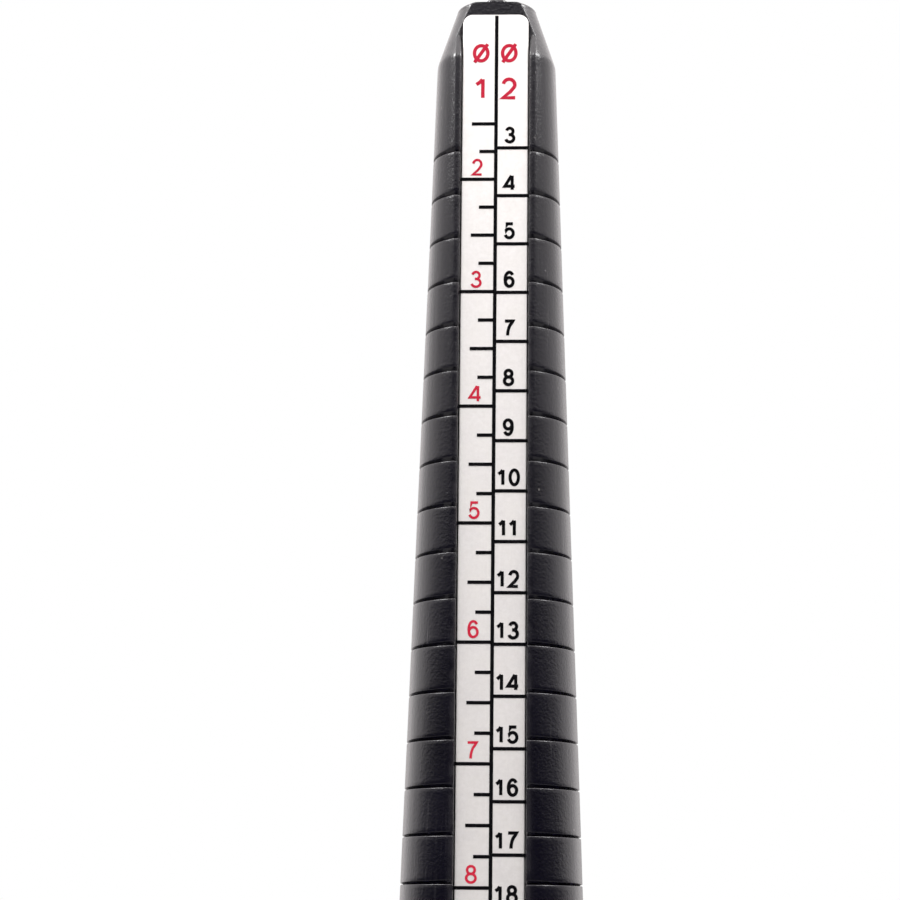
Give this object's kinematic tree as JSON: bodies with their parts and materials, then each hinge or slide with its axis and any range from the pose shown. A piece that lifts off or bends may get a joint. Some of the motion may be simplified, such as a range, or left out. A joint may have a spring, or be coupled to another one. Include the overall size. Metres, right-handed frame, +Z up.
{
  "type": "ring sizer stick",
  "caption": "Tapered, grooved gauge stick for finger ring sizes, with printed metal scales let into front and rear channels, a fluted handle and a flat butt with a hanging hole.",
  "frame": {"origin": "centre of the flat butt face that the stick stands on", "axes": "+Z up the stick's axis to the tip, -Y out of the front scale, +X to the right of a reader of the front scale"},
  "size_m": [0.0254, 0.0254, 0.2649],
  "materials": {
    "gauge_plastic": "satin moulded black",
    "handle_plastic": "satin moulded black, fine texture",
    "scale_metal": "silvery white satin",
    "adhesive": "matte",
    "black_ink": "printed",
    "red_ink": "printed"
  },
  "bodies": {
    "root": {"gauge_body": "gauge_plastic", "front_scale_strip": "scale_metal", "rear_scale_strip": "scale_metal", "front_strip_tape": "adhesive", "rear_strip_tape": "adhesive", "front_scale_lines": "black_ink", "rear_scale_lines": "black_ink", "handle_grip": "handle_plastic", "butt_cap": "handle_plastic"}
  },
  "joints": []
}
